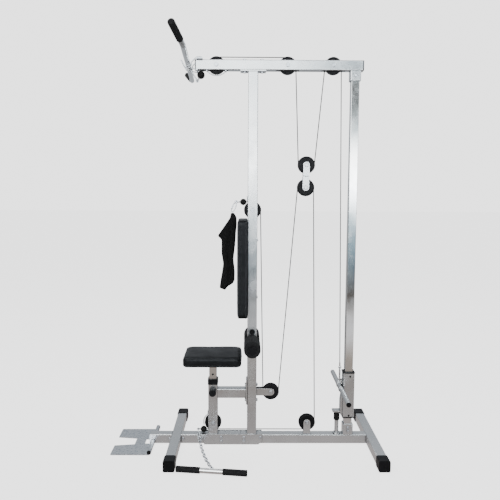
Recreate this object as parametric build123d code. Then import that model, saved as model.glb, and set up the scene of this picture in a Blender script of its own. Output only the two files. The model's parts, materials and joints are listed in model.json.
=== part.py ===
from build123d import *
import os
from math import asin, atan2, cos, hypot, pi, radians, sin

# Lat pulldown machine. Millimetres, +Z up, origin on the floor under the middle of the
# front upright. +X points to the weight carriage, -X to the seat and foot plate.

# ---------------------------------------------------------------- driving dimensions
TUBE = 50.0              # outside width of the square frame tube
WALL = 2.5               # frame tube wall
CORNER = 4.0             # outside corner radius of the square tubes
LIFT = 4.0               # height of the base tubes above the floor
BEAM_TOP = 2018.0        # top face of the top beam
BEAM_FRONT = -290.0      # front end of the top beam
BEAM_REAR = 555.0        # rear end of the top beam
BASE_FRONT = -547.0      # front end of the base
FRONT_FOOT_X = -405.0    # centre line of the front cross foot
REAR_FOOT_X = 644.0      # centre line of the rear cross foot
FOOT_HALF = 330.0        # half length of a foot tube, without its end caps
SEAT_X = -208.0          # centre line of the seat post
RAIL_X = 519.0           # centre line of the guide rail
RAIL = 42.0              # outside width of the guide rail
PULLEY_R = 45.0          # pulley rim
PULLEY_W = 24.0          # pulley width
CABLE_R = 2.5            # cable radius
WRAP_R = 41.5            # radius of the cable's centre line on a pulley
AXLE_R = 5.0             # pulley bolt radius
RUN_GAP = 0.05           # radial running clearance of a pulley on its bolt
HOLE_GAP = 0.3           # radial clearance of a bolt in a tube wall
ROLLER_Z = 560.0         # height of the leg roller axle
LAT_BAR = (-330.0, 1990.0)   # X and Z of the lat bar's middle, lying in its hooks
STEEL_EAR = 4.0          # thickness of the pulley brackets
EAR_IN = 13.0            # distance from the middle plane to the inside of a bracket ear

BASE_BOTTOM = LIFT
BASE_TOP = LIFT + TUBE
BASE_Z = LIFT + TUBE / 2
HALF = TUBE / 2
BEAM_BOTTOM = BEAM_TOP - TUBE
BEAM_Z = BEAM_TOP - HALF
FLANGE_T = 6.0
UPRIGHT_TOP = BEAM_BOTTOM - FLANGE_T
EAR_OUT = EAR_IN + STEEL_EAR

# X and Z of each pulley's centre
TOP_FRONT = (-187.0, BEAM_Z)
TOP_MIDDLE = (175.0, BEAM_Z)
TOP_REAR = (407.0, BEAM_Z)
BLOCK_UPPER = (277.0, 1494.0)
BLOCK_LOWER = (275.0, 1378.0)
UPRIGHT_PULLEY = (0.0, 1261.0)
LOW_MIDDLE = (102.0, 287.0)
BASE_PULLEY = (299.0, 116.0)
ROW_PULLEY = (SEAT_X, 116.0)

PULLEYS = {
    "pulley_top_front": TOP_FRONT,
    "pulley_top_middle": TOP_MIDDLE,
    "pulley_top_rear": TOP_REAR,
    "pulley_block_upper": BLOCK_UPPER,
    "pulley_block_lower": BLOCK_LOWER,
    "pulley_upright": UPRIGHT_PULLEY,
    "pulley_low_middle": LOW_MIDDLE,
    "pulley_base": BASE_PULLEY,
    "pulley_row": ROW_PULLEY,
}

# X and Z of the three stop balls and of the cable's end at the carriage
LAT_BALL = (-266.0, 1945.0)
AB_BALL = (-48.5, UPRIGHT_PULLEY[1] + WRAP_R)
ROW_BALL = (-259.0, ROW_PULLEY[1] - WRAP_R)
CARRIAGE_END = (472.5, 446.0)
LAT_BALL_R = 20.0
SMALL_BALL_R = 17.0


# ---------------------------------------------------------------- shape helpers
def block(x, y, z):
    """A box between the two limits given for each axis."""
    size = (x[1] - x[0], y[1] - y[0], z[1] - z[0])
    centre = ((x[0] + x[1]) / 2, (y[0] + y[1]) / 2, (z[0] + z[1]) / 2)
    return Pos(*centre) * Box(*size)


def turned(axis, shape, start, a, b):
    """Lay a shape built along +Z from the origin along a row axis, from start.
    a and b are the other two coordinates, in X, Y, Z order."""
    if axis == "X":
        return Pos(start, a, b) * Rot(0, 90, 0) * shape
    if axis == "Y":
        return Pos(a, start, b) * Rot(-90, 0, 0) * shape
    return Pos(a, b, start) * shape


def square_tube(axis, lo, hi, a, b, size=TUBE, wall=WALL, corner=CORNER):
    """A hollow square tube with rounded corners, along a row axis from lo to hi."""
    inside = size - 2 * wall
    section = RectangleRounded(size, size, corner)
    section -= RectangleRounded(inside, inside, max(corner - wall, 0.8))
    return turned(axis, extrude(section, hi - lo), lo, a, b)


def cylinder(axis, lo, hi, a, b, radius):
    return turned(axis, extrude(Circle(radius), hi - lo), lo, a, b)


def hexagon(axis, lo, hi, a, b, radius):
    return turned(axis, extrude(RegularPolygon(radius, 6), hi - lo), lo, a, b)


def flat_point(point, y=0.0):
    """The 3-D place of an X, Z point in the plane at y."""
    return Vector(point[0], y, point[1])


def straight_rod(start, end, radius):
    """A round rod between two 3-D points."""
    start = Vector(*start)
    run = Vector(*end) - start
    return extrude(Plane(origin=start, z_dir=run) * Circle(radius), run.length)


def swept_rod(path, radius):
    """A round rod along a path."""
    return sweep(Plane(origin=path @ 0, z_dir=path % 0) * Circle(radius), path=path)


def oval_link(span, wide_in, wire_r):
    """A closed oval link in the XY plane, long along X. The span is between the
    middles of the wire at its two ends; wide_in is its inside width."""
    bend = wide_in / 2 + wire_r
    reach = span / 2 - bend
    link = Part()
    for side in (1, -1):
        half = Rot(0, 0, -90 * side) * revolve(
            Plane.XZ * Pos(bend, 0) * Circle(wire_r), Axis.Z, 180)
        link += Pos(side * reach, 0, 0) * half
        link += Pos(-reach, side * bend, 0) * cylinder("X", 0, 2 * reach, 0, 0, wire_r)
    return link


# ---------------------------------------------------------------- cable geometry
def tangent_run(start, start_turn, end, end_turn):
    """The straight run between two pulleys, as its two X, Z points.
    A turn is +1 where the cable goes round anticlockwise, -1 clockwise, 0 at a plain end."""
    run_x = end[0] - start[0]
    run_z = end[1] - start[1]
    offset = (start_turn - end_turn) * WRAP_R / hypot(run_x, run_z)
    angle = atan2(run_z, run_x) + asin(offset)
    right = (sin(angle), -cos(angle))
    return [(centre[0] + turn * WRAP_R * right[0], centre[1] + turn * WRAP_R * right[1])
            for centre, turn in ((start, start_turn), (end, end_turn))]


def cable_run(points):
    return straight_rod(flat_point(points[0]), flat_point(points[1]), CABLE_R)


def cable_wrap(centre, arrive, leave, turn):
    """The cable's bend round a pulley, between the points where it arrives and leaves."""
    first = atan2(arrive[1] - centre[1], arrive[0] - centre[0])
    last = atan2(leave[1] - centre[1], leave[0] - centre[0])
    swing = ((last - first) * turn) % (2 * pi) * turn
    middle = first + swing / 2
    half_way = (centre[0] + WRAP_R * cos(middle), centre[1] + WRAP_R * sin(middle))
    path = ThreePointArc(flat_point(arrive), flat_point(half_way), flat_point(leave))
    return swept_rod(path, CABLE_R)


LAT_ROUTE = [(LAT_BALL, 0), (TOP_FRONT, -1), (TOP_MIDDLE, -1), (BLOCK_UPPER, 1),
             (TOP_REAR, -1), (CARRIAGE_END, 0)]
LOW_ROUTE = [(AB_BALL, 0), (UPRIGHT_PULLEY, -1), (LOW_MIDDLE, 1), (BLOCK_LOWER, -1),
             (BASE_PULLEY, -1), (ROW_PULLEY, -1), (ROW_BALL, 0)]


def route_runs(route):
    return [tangent_run(*first, *second) for first, second in zip(route, route[1:])]


def route_wrap(route, runs, index):
    centre, turn = route[index]
    return cable_wrap(centre, runs[index - 1][1], runs[index][0], turn)


# ---------------------------------------------------------------- fasteners
def through_bolt(axis, lo, hi, a, b, radius=AXLE_R):
    """A hex bolt clamping from lo to hi, head before lo and nut after hi."""
    head = 1.8 * radius
    shank = cylinder(axis, lo - radius, hi + 1.6 * radius, a, b, radius)
    return (shank + hexagon(axis, lo - 1.2 * radius, lo - 0.3 * radius, a, b, head)
            + cylinder(axis, lo - 0.3 * radius, lo, a, b, 2 * radius)
            + hexagon(axis, hi + 0.3 * radius, hi + 1.3 * radius, a, b, head)
            + cylinder(axis, hi, hi + 0.3 * radius, a, b, 2 * radius))


# Clamped bolts of the frame: axis, clamped span, the other two coordinates, radius
PULLEY_BOLTS = [
    ("Y", -HALF, HALF, *TOP_FRONT, AXLE_R),
    ("Y", -HALF, HALF, *TOP_MIDDLE, AXLE_R),
    ("Y", -HALF, HALF, *TOP_REAR, AXLE_R),
    ("Y", -HALF, HALF, *UPRIGHT_PULLEY, AXLE_R),
    ("Y", -EAR_OUT, EAR_OUT, *LOW_MIDDLE, AXLE_R),
    ("Y", -EAR_OUT, EAR_OUT, *BASE_PULLEY, AXLE_R),
    ("Y", -HALF, HALF, *ROW_PULLEY, AXLE_R),
]
CHANNEL_WALL = 5.0
CHANNEL_Y = HALF + CHANNEL_WALL
SEAT_FLANGE_X = -HALF - FLANGE_T
PAD_BOARD_FRONT = -HALF - 10.0
FRAME_BOLTS = (
    [("Y", -CHANNEL_Y, CHANNEL_Y, x, z, 4.0) for x in (-163, -41) for z in (19, 39)]
    + [("Y", -CHANNEL_Y, CHANNEL_Y, 47, 40, 4.0)]
    + [("Y", -HALF, HALF, FRONT_FOOT_X + side * 36, BASE_Z, 4.0) for side in (-1, 1)]
    + [("Z", UPRIGHT_TOP, BEAM_TOP, side * 44, 0, 5.0) for side in (-1, 1)]
    + [("X", SEAT_FLANGE_X, HALF, 0, z, 5.0) for z in (239, 324)]
    + [("Y", -27, 27, RAIL_X, z, 4.0) for z in (74, 92, 1943)]
)
PAD_SCREW_Z = (801.0, 1104.0)


def bolt_holes():
    """Clearance holes for every frame and pulley bolt."""
    reach = 12.0
    holes = [cylinder(axis, lo - reach, hi + reach, a, b, radius + HOLE_GAP)
             for axis, lo, hi, a, b, radius in PULLEY_BOLTS + FRAME_BOLTS]
    holes += [cylinder("X", -60, HALF + reach, 0, z, 3.3) for z in PAD_SCREW_Z]
    return holes


def drilled(shape, holes):
    """Cut the bolt holes that reach this shape."""
    box = shape.bounding_box()
    for hole in holes:
        other = hole.bounding_box()
        apart = any((other.min.X > box.max.X, other.max.X < box.min.X,
                     other.min.Y > box.max.Y, other.max.Y < box.min.Y,
                     other.min.Z > box.max.Z, other.max.Z < box.min.Z))
        if not apart:
            shape = shape - hole
    return shape


# ---------------------------------------------------------------- frame
def joint_channel():
    """U channel bolted round the joint of the base tubes; its underside is the floor face."""
    front, rear, chamfer = -256.0, 56.0, 20.0
    top = BASE_TOP + 3
    outer = block((front, rear), (-CHANNEL_Y, CHANNEL_Y), (0, top))
    inner = block((front - 1, rear + 1), (-HALF, HALF), (BASE_BOTTOM, top + 1))
    corner = Plane.XZ * make_face(Polyline((rear - chamfer, -1), (rear + 1, -1),
                                           (rear + 1, chamfer), (rear - chamfer, -1)))
    return outer - inner - extrude(corner, CHANNEL_Y + 1, both=True)


def base_tubes():
    """Front stub, middle and rear base tubes."""
    foot_front, foot_rear = FRONT_FOOT_X - HALF, FRONT_FOOT_X + HALF
    stub = square_tube("X", BASE_FRONT, foot_front, 0, BASE_Z)
    stub -= cylinder("Y", -40, 40, HINGE_X, HINGE_Z, HINGE_R + HOLE_GAP)
    middle = square_tube("X", foot_rear, -60, 0, BASE_Z)
    rear = square_tube("X", -59, REAR_FOOT_X - HALF, 0, BASE_Z)
    return [stub, middle, rear]


def foot_tubes():
    return [square_tube("Y", -FOOT_HALF, FOOT_HALF, x, BASE_Z)
            for x in (FRONT_FOOT_X, REAR_FOOT_X)]


def foot_end_caps():
    """Plastic caps slipped over the ends of both feet; they stand on the floor."""
    cap_wall, cap_cover, cap_end = LIFT, 57.0, 5.0
    outside = TUBE + 2 * cap_wall
    caps = []
    for x in (FRONT_FOOT_X, REAR_FOOT_X):
        for side in (-1, 1):
            near, far = FOOT_HALF - cap_cover, FOOT_HALF + cap_end
            lo, hi = sorted((side * near, side * far))
            pocket_lo, pocket_hi = sorted((side * (near - 1), side * FOOT_HALF))
            shell = extrude(RectangleRounded(outside, outside, CORNER + cap_wall), hi - lo)
            pocket = extrude(RectangleRounded(TUBE, TUBE, CORNER), pocket_hi - pocket_lo)
            caps.append(turned("Y", shell, lo, x, BASE_Z)
                        - turned("Y", pocket, pocket_lo, x, BASE_Z))
    return caps


SLOT_HALF = 60.0         # half length of a pulley slot in the beam
SLOT_FRONT = 84.0        # the front slot reaches further forward, for the falling cable
SLOT_Y = 15.0            # half width of a pulley slot
CABLE_HOLE_R = 9.0


def front_upright():
    upright = square_tube("Z", BASE_TOP, UPRIGHT_TOP, 0, 0)
    x, z = UPRIGHT_PULLEY
    upright -= block((-HALF - 1, HALF + 1), (-SLOT_Y, SLOT_Y), (z - 54, z + 54))
    upright -= cylinder("X", -HALF - 1, HALF + 1, 0, ROW_BALL[1], CABLE_HOLE_R)
    upright -= cylinder("Y", -HALF - 1, HALF + 1, 0, ROLLER_Z, ROLLER_AXLE_R + HOLE_GAP)
    upright -= cylinder("Y", -HALF - 1, -HALF + WALL + 1, 0, PLUG_Z, 9.0)
    return upright


def top_beam():
    beam = square_tube("X", BEAM_FRONT, BEAM_REAR, 0, BEAM_Z)
    for (x, z), ahead in ((TOP_FRONT, SLOT_FRONT), (TOP_MIDDLE, SLOT_HALF), (TOP_REAR, SLOT_HALF)):
        beam -= block((x - ahead, x + SLOT_HALF), (-SLOT_Y, SLOT_Y),
                      (BEAM_BOTTOM - 1, BEAM_TOP + 1))
    return beam


def frame_flanges():
    """The upright's top flange and the cross beam's flange."""
    top = block((-65, 65), (-30, 30), (UPRIGHT_TOP, BEAM_BOTTOM))
    seat = block((SEAT_FLANGE_X, -HALF), (-30, 30), (222, 358))
    return [top, seat]


COLLAR = 54.0
COLLAR_IN = RAIL + 0.4


def rail_sockets():
    """Bottom socket and top collar that hold the guide rail."""
    wall = (COLLAR - COLLAR_IN) / 2
    return [square_tube("Z", lo, hi, RAIL_X, 0, COLLAR, wall, 5.0)
            for lo, hi in ((BASE_TOP, 111.0), (1918.0, BEAM_BOTTOM))]


def guide_rail():
    return square_tube("Z", BASE_TOP + 1, BEAM_BOTTOM - 1, RAIL_X, 0, RAIL, 2.0, 3.0)


def cross_beam():
    return square_tube("X", SEAT_X + HALF, SEAT_FLANGE_X, 0, 281.0)


def frame_plugs():
    """Plastic plugs: beam ends, hinge tube ends, upright plug and roller axle ends."""
    plugs = []
    for face, side in ((BEAM_FRONT, -1), (BEAM_REAR, 1)):
        lo, hi = sorted((face, face + side * 5))
        stem_lo, stem_hi = sorted((face, face - side * 18))
        plug = turned("X", extrude(RectangleRounded(TUBE, TUBE, CORNER), hi - lo), lo, 0, BEAM_Z)
        plug += block((stem_lo, stem_hi), (-22, 22), (BEAM_Z - 22, BEAM_Z + 22))
        plugs.append(plug)
    plugs.append(cylinder("Y", -HALF - 4, -HALF, 0, PLUG_Z, 14.0)
                 + cylinder("Y", -HALF, -HALF + WALL + 4, 0, PLUG_Z, 8.8))
    for side in (-1, 1):
        lo, hi = sorted((side * ROLLER_AXLE_HALF, side * (ROLLER_AXLE_HALF + 5)))
        plugs.append(cylinder("Y", lo, hi, 0, ROLLER_Z, 21.0))
        lo, hi = sorted((side * HINGE_HALF, side * (HINGE_HALF + 4)))
        plugs.append(cylinder("Y", lo, hi, HINGE_X, HINGE_Z, 11.0))
    return plugs


# ---------------------------------------------------------------- seat
INNER_POST = 40.0
SEAT_POST_TOP = 330.0
SEAT_BUSH_TOP = 359.0
SEAT_PLATE_Z = 448.0
PIN_Z = 295.0
HOLE_PITCH = 30.0
PIN_R = 5.0


def seat_post_outer():
    post = square_tube("Z", BASE_TOP, SEAT_POST_TOP, SEAT_X, 0)
    x, z = ROW_PULLEY
    post -= block((x - HALF - 1, x + HALF + 1), (-SLOT_Y, SLOT_Y), (z - 54, z + 54))
    boss = cylinder("Y", -HALF - 12, -HALF, SEAT_X, PIN_Z, 9.5)
    return post + boss - cylinder("Y", -60, -HALF + WALL + 1, SEAT_X, PIN_Z, PIN_R + 0.1)


def seat_post_bush():
    """Plastic guide bush: a collar on the outer post and a sleeve inside it."""
    collar = extrude(RectangleRounded(54, 54, 6), SEAT_BUSH_TOP - SEAT_POST_TOP)
    sleeve = extrude(RectangleRounded(44.8, 44.8, 1.5), 18)
    bore = extrude(RectangleRounded(INNER_POST + 0.4, INNER_POST + 0.4, 3.2), 80)
    bush = Pos(SEAT_X, 0, SEAT_POST_TOP) * collar + Pos(SEAT_X, 0, SEAT_POST_TOP - 18) * sleeve
    return bush - Pos(SEAT_X, 0, SEAT_POST_TOP - 25) * bore


def seat_post_inner():
    """Sliding post with its row of holes and the plate under the cushion."""
    post = square_tube("Z", 200, SEAT_PLATE_Z, SEAT_X, 0, INNER_POST, 2.0, 3.4)
    for step in range(-2, 4):
        post -= cylinder("Y", -30, 0, SEAT_X, PIN_Z + step * HOLE_PITCH, PIN_R + 0.4)
    plate = block((SEAT_X - 70, SEAT_X + 70), (-50, 50), (SEAT_PLATE_Z, SEAT_PLATE_Z + 4))
    return post + plate


def seat_cushion():
    cushion = block((SEAT_X - 153, SEAT_X + 153), (-118, 118), (SEAT_PLATE_Z + 4, 508))
    return fillet(cushion.edges().filter_by(Axis.Z), 28)


def seat_pull_pin():
    """Pull pin: its nose ends just short of the inner post."""
    pin = cylinder("Y", -48, -INNER_POST / 2 - 0.4, SEAT_X, PIN_Z, PIN_R)
    knob = cylinder("Y", -64, -42, SEAT_X, PIN_Z, 19.0)
    return pin + fillet(knob.edges(), 4)


def back_pad():
    pad = block((-80, -HALF), (-120, 120), (705, 1214))
    return fillet(pad.edges().filter_by(Axis.X), 22)


def pad_screws():
    """Screws from the back of the upright into the pad's board."""
    return [cylinder("X", -45, HALF, 0, z, 3.0) + hexagon("X", HALF, HALF + 5, 0, z, 7.0)
            for z in PAD_SCREW_Z]


# ---------------------------------------------------------------- leg rollers
ROLLER_R = 43.0
ROLLER_AXLE_R = 10.0
ROLLER_AXLE_HALF = 176.0
ROLLER_IN = 27.0
PLUG_Z = 618.0


def roller_axle():
    axle = cylinder("Y", -ROLLER_AXLE_HALF, ROLLER_AXLE_HALF, 0, ROLLER_Z, ROLLER_AXLE_R)
    return axle - cylinder("Y", -ROLLER_AXLE_HALF - 1, ROLLER_AXLE_HALF + 1, 0, ROLLER_Z, 7.5)


def leg_roller(side):
    lo, hi = sorted((side * ROLLER_IN, side * (ROLLER_AXLE_HALF - 0.5)))
    foam = fillet(cylinder("Y", lo, hi, 0, ROLLER_Z, ROLLER_R).edges(), 6)
    return foam - cylinder("Y", lo - 1, hi + 1, 0, ROLLER_Z, ROLLER_AXLE_R + RUN_GAP)


# ---------------------------------------------------------------- pulleys and brackets
def pulley(centre):
    """A grooved pulley with raised hub, bored for its bolt."""
    half = PULLEY_W / 2
    groove = WRAP_R - CABLE_R - 0.1
    outline = Polyline((AXLE_R + RUN_GAP, -half), (13, -half), (15, -half + 4), (37, -half + 4),
                       (39, -half + 5), (PULLEY_R, -half + 5), (PULLEY_R, -half + 7),
                       (groove, -2.4), (groove, 2.4), (PULLEY_R, half - 7),
                       (PULLEY_R, half - 5), (39, half - 5), (37, half - 4), (15, half - 4),
                       (13, half), (AXLE_R + RUN_GAP, half), close=True)
    wheel = revolve(Plane.XZ * make_face(outline), Axis.Z)
    return turned("Y", wheel, 0, *centre)


def low_pulley_arms():
    """Two flat arms welded to the back of the upright."""
    x, z = LOW_MIDDLE
    arms = []
    for side in (-1, 1):
        lo, hi = sorted((side * EAR_IN, side * EAR_OUT))
        arm = block((HALF, x), (lo, hi), (z - 19, z + 19)) + cylinder("Y", lo, hi, x, z, 19)
        arms.append(arm)
    return arms


def upright_fork(centre, root_z, half_width=18.5):
    """A fork with two ears from a web at root_z to rounded ends round the bolt."""
    x, z = centre
    up = 1 if z > root_z else -1
    web_lo, web_hi = sorted((root_z, root_z + up * STEEL_EAR))
    ear_lo, ear_hi = sorted((root_z, z))
    fork = block((x - half_width, x + half_width), (-EAR_OUT, EAR_OUT), (web_lo, web_hi))
    for side in (-1, 1):
        lo, hi = sorted((side * EAR_IN, side * EAR_OUT))
        fork += block((x - half_width, x + half_width), (lo, hi), (ear_lo, ear_hi))
        fork += cylinder("Y", lo, hi, x, z, half_width)
    return fork


BLOCK_X = 276.0
BLOCK_SEAM = 1436.0


def floating_block():
    """Two forks back to back, with the bolt and washer that join them and the two pulley bolts."""
    upper = upright_fork(BLOCK_UPPER, BLOCK_SEAM + 1, 16.5)
    lower = upright_fork(BLOCK_LOWER, BLOCK_SEAM - 1, 16.5)
    joint = cylinder("Z", BLOCK_SEAM - 20, BLOCK_SEAM + 20, BLOCK_X, 0, 4 + HOLE_GAP)
    solids = [upper - joint, lower - joint]
    solids.append(cylinder("Z", BLOCK_SEAM - 8, BLOCK_SEAM + 8, BLOCK_X, 0, 4)
                  + cylinder("Z", BLOCK_SEAM - 1, BLOCK_SEAM + 1, BLOCK_X, 0, 10)
                  + hexagon("Z", BLOCK_SEAM + 5, BLOCK_SEAM + 9, BLOCK_X, 0, 7)
                  + hexagon("Z", BLOCK_SEAM - 9, BLOCK_SEAM - 5, BLOCK_X, 0, 7))
    for index, centre in enumerate((BLOCK_UPPER, BLOCK_LOWER)):
        hole = cylinder("Y", -30, 30, *centre, AXLE_R + HOLE_GAP)
        solids[index] = solids[index] - hole
        solids.append(through_bolt("Y", -EAR_OUT, EAR_OUT, *centre))
    return solids


def pulley_spacers():
    """Spacer tubes that centre a pulley on its bolt inside a frame tube."""
    inner = HALF - WALL
    face = PULLEY_W / 2 + 0.3
    spacers = []
    for centre in (TOP_FRONT, TOP_MIDDLE, TOP_REAR, UPRIGHT_PULLEY, ROW_PULLEY):
        for side in (-1, 1):
            lo, hi = sorted((side * face, side * (inner - 0.1)))
            tube = cylinder("Y", lo, hi, *centre, 8)
            spacers.append(tube - cylinder("Y", lo - 1, hi + 1, *centre, AXLE_R + 0.1))
    return spacers


GUARD_R = 2.5
GUARD_HALF = 48.0        # half span of the guard under the front pulley


def cable_guards():
    """Bent wire guards that keep the cable on its pulleys."""
    x, z = TOP_FRONT
    under_z = BEAM_BOTTOM - GUARD_R
    arc = ThreePointArc(flat_point((x - GUARD_HALF, under_z)),
                        flat_point((x, z - PULLEY_R - 5)),
                        flat_point((x + GUARD_HALF, under_z)))
    under = swept_rod(arc, GUARD_R)
    for end_x in (x - GUARD_HALF, x + GUARD_HALF):
        under += cylinder("Y", -20, 20, end_x, under_z, GUARD_R)
    px, pz = ROW_PULLEY
    reach = PULLEY_R + 6
    start, end = radians(123.5), radians(199)
    middle = (start + end) / 2
    round_row = ThreePointArc(*(flat_point((px + reach * cos(a), pz + reach * sin(a)))
                                for a in (start, middle, end)))
    slot_top = UPRIGHT_PULLEY[1] + 54
    keeper = straight_rod((-HALF - GUARD_R, 0, AB_BALL[1] + CABLE_R + 1),
                          (-HALF - GUARD_R, 0, slot_top + 18), GUARD_R)
    foot = block((px - HALF - 2.5, px - HALF), (-6, 6), (pz + 54.2, pz + 66))
    rise = straight_rod(round_row @ 0, (px - HALF - 2.5, 0, pz + 62), GUARD_R)
    return [under, swept_rod(round_row, GUARD_R) + rise + foot, keeper]


# ---------------------------------------------------------------- bar hooks
HOOK_Y = 40.0
HOOK_R = 3.0
CRADLE_R = 12.5 + HOOK_R + 2.6


def bar_hook(y):
    """One J hook: from the plate on the beam, down and round under the bar, to its tip."""
    x, z = LAT_BAR
    top = BEAM_TOP + 4 + HOOK_R
    turn = radians(-150)

    def round_bar(angle, reach=CRADLE_R):
        return flat_point((x + reach * cos(angle), z + reach * sin(angle)), y)

    lead = FilletPolyline(flat_point((-258, top), y), flat_point((-284, top), y),
                          flat_point((x + CRADLE_R, z + 10), y), round_bar(0), radius=7)
    cradle = ThreePointArc(round_bar(0), round_bar(turn / 2), round_bar(turn))
    tip = Line(round_bar(turn), round_bar(turn) + Vector(sin(turn), 0, -cos(turn)) * 34)
    hook = swept_rod(Wire(lead.edges() + cradle.edges() + tip.edges()), HOOK_R)
    brace_start = flat_point((-284, BEAM_BOTTOM - 4), y)
    return hook + straight_rod(brace_start, round_bar(radians(-62), CRADLE_R + 1), 2.5)


def bar_hooks():
    """Both hooks on their cross plate, with the lower cross rod."""
    plate = block((-286, -256), (-HOOK_Y - 6, HOOK_Y + 6), (BEAM_TOP, BEAM_TOP + 4))
    rod = cylinder("Y", -HOOK_Y - 3, HOOK_Y + 3, -284, BEAM_BOTTOM - 4, 4)
    return plate + rod + bar_hook(-HOOK_Y) + bar_hook(HOOK_Y)


# ---------------------------------------------------------------- carriage
SLEEVE = 60.0
SLEEVE_Z = (154.0, 394.0)
BUSH_PLUGS = ((RAIL_X + 6, SLEEVE_Z[1] - 17), (RAIL_X + 2, SLEEVE_Z[0] + 8))
PEG_R = 12.5
PEG_X = RAIL_X - SLEEVE / 2 - PEG_R
PEG_Z = 310.0
PEG_HALF = 258.0
COLLAR_Y = 38.0
STOP_Z = 176.0
BUMPER_X = 461.0


def bush_plug(place, radius, reach):
    """Round plug through both side walls of the sleeve, which holds a bush."""
    return cylinder("Y", -reach, reach, *place, radius)


def carriage_sleeve():
    sleeve = square_tube("Z", *SLEEVE_Z, RAIL_X, 0, SLEEVE, 3.0, 5.0)
    for place in BUSH_PLUGS:
        sleeve -= bush_plug(place, 4.7, SLEEVE)
    return sleeve


def carriage_bushes():
    """Plastic slide bushes in both ends of the sleeve, and the plugs of the weight peg."""
    solids = []
    for face, side, place in ((SLEEVE_Z[1], 1, BUSH_PLUGS[0]), (SLEEVE_Z[0], -1, BUSH_PLUGS[1])):
        flange_lo, flange_hi = sorted((face, face + side * 5))
        stem_lo, stem_hi = sorted((face, face - side * 40))
        bore = RAIL + 0.3
        bush = Pos(RAIL_X, 0, flange_lo) * extrude(RectangleRounded(64, 64, 6), 5)
        bush += Pos(RAIL_X, 0, stem_lo) * extrude(RectangleRounded(53.8, 53.8, 1.9), 40)
        bush += bush_plug(place, 4.6, SLEEVE / 2 + 1.5)
        bush -= Pos(RAIL_X, 0, stem_lo - 10) * extrude(RectangleRounded(bore, bore, 3), 60)
        solids.append(bush)
    for side in (-1, 1):
        lo, hi = sorted((side * PEG_HALF, side * (PEG_HALF + 4)))
        stem_lo, stem_hi = sorted((side * PEG_HALF, side * (PEG_HALF - 15)))
        solids.append(fillet(cylinder("Y", lo, hi, PEG_X, PEG_Z, PEG_R).edges()
                             .sort_by(Axis.Y)[0 if side < 0 else -1], 2)
                      + cylinder("Y", stem_lo, stem_hi, PEG_X, PEG_Z, 9.4))
    return solids


def weight_peg():
    """Cross tube for weight plates, with a stop collar beside the sleeve on each side."""
    peg = cylinder("Y", -PEG_HALF, PEG_HALF, PEG_X, PEG_Z, PEG_R)
    for side in (-1, 1):
        lo, hi = sorted((side * 33, side * COLLAR_Y))
        peg += cylinder("Y", lo, hi, PEG_X, PEG_Z, PEG_R + 2.5)
    return peg - cylinder("Y", -PEG_HALF - 1, PEG_HALF + 1, PEG_X, PEG_Z, 9.5)


LUG_POINT = (473.0, 345.0)
CARRIAGE_LOOP = (473.0, 419.5)
LOOP_R = 6.5             # middle radius of the loop at a cable's end
LOOP_WIRE = 2.0
FERRULE_R = 4.0
LINK_SLACK = 1.4         # how far a link's wire sits past the middle of a loop


def carriage_bracket():
    """Front gusset with the stop tab, the cable lug, and the quick link to the cable."""
    front = RAIL_X - SLEEVE / 2
    side_view = Polyline((front, SLEEVE_Z[0]), (front, 282), (front - 8, 268),
                         (front - 12, 240), (front - 12, STOP_Z + 8), (front - 52, STOP_Z + 8),
                         (front - 52, STOP_Z), (front - 12, STOP_Z),
                         (front - 12, SLEEVE_Z[0] + 12), (front - 4, SLEEVE_Z[0]), close=True)
    gusset = extrude(Plane.XZ * make_face(side_view), 20, both=True)
    x, z = LUG_POINT
    lug = block((x, front), (-3, 3), (z - 11, z + 11)) + cylinder("Y", -3, 3, x, z, 11)
    lug -= cylinder("Y", -4, 4, x, z, 5)
    low_wire, high_wire = z + 1.9, CARRIAGE_LOOP[1] - 1.4
    link = (Pos(x, 0, (low_wire + high_wire) / 2) * Rot(0, -90, 0)
            * oval_link(high_wire - low_wire, 14, 3))
    toward = (flat_point(CARRIAGE_LOOP) - flat_point(CARRIAGE_END)).normalized()
    ferrule = straight_rod(flat_point(CARRIAGE_END) + toward * 0.4,
                           flat_point(CARRIAGE_LOOP) - toward * (LOOP_R - 0.5), FERRULE_R)
    loop = Pos(*flat_point(CARRIAGE_LOOP)) * Rot(90, 0, 0) * Torus(LOOP_R, LOOP_WIRE)
    return [gusset, lug, link, ferrule + loop]


def bumper_post():
    return (cylinder("Z", BASE_TOP, 150, BUMPER_X, 0, 11)
            + cylinder("Z", BASE_TOP, BASE_TOP + 5, BUMPER_X, 0, 20))


def bumper_rubber():
    rubber = cylinder("Z", 130, STOP_Z, BUMPER_X, 0, 16)
    rubber = fillet(rubber.edges().sort_by(Axis.Z)[-1], 4)
    return rubber - cylinder("Z", 120, 150, BUMPER_X, 0, 11)


# ---------------------------------------------------------------- foot plate
HINGE_X = -530.0
HINGE_Z = 16.0
HINGE_R = 6.0
HINGE_HALF = 158.0
PLATE_BOTTOM = 1.0
PLATE_T = 4.0


def foot_hinge_rod():
    """Hinge rod through the base stub, and the end plate that closes the stub."""
    rod = cylinder("Y", -HINGE_HALF, HINGE_HALF, HINGE_X, HINGE_Z, HINGE_R)
    end = block((BASE_FRONT - 3, BASE_FRONT), (-23, 23), (BASE_BOTTOM + 2, BASE_TOP - 2))
    return [rod, end]


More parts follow.
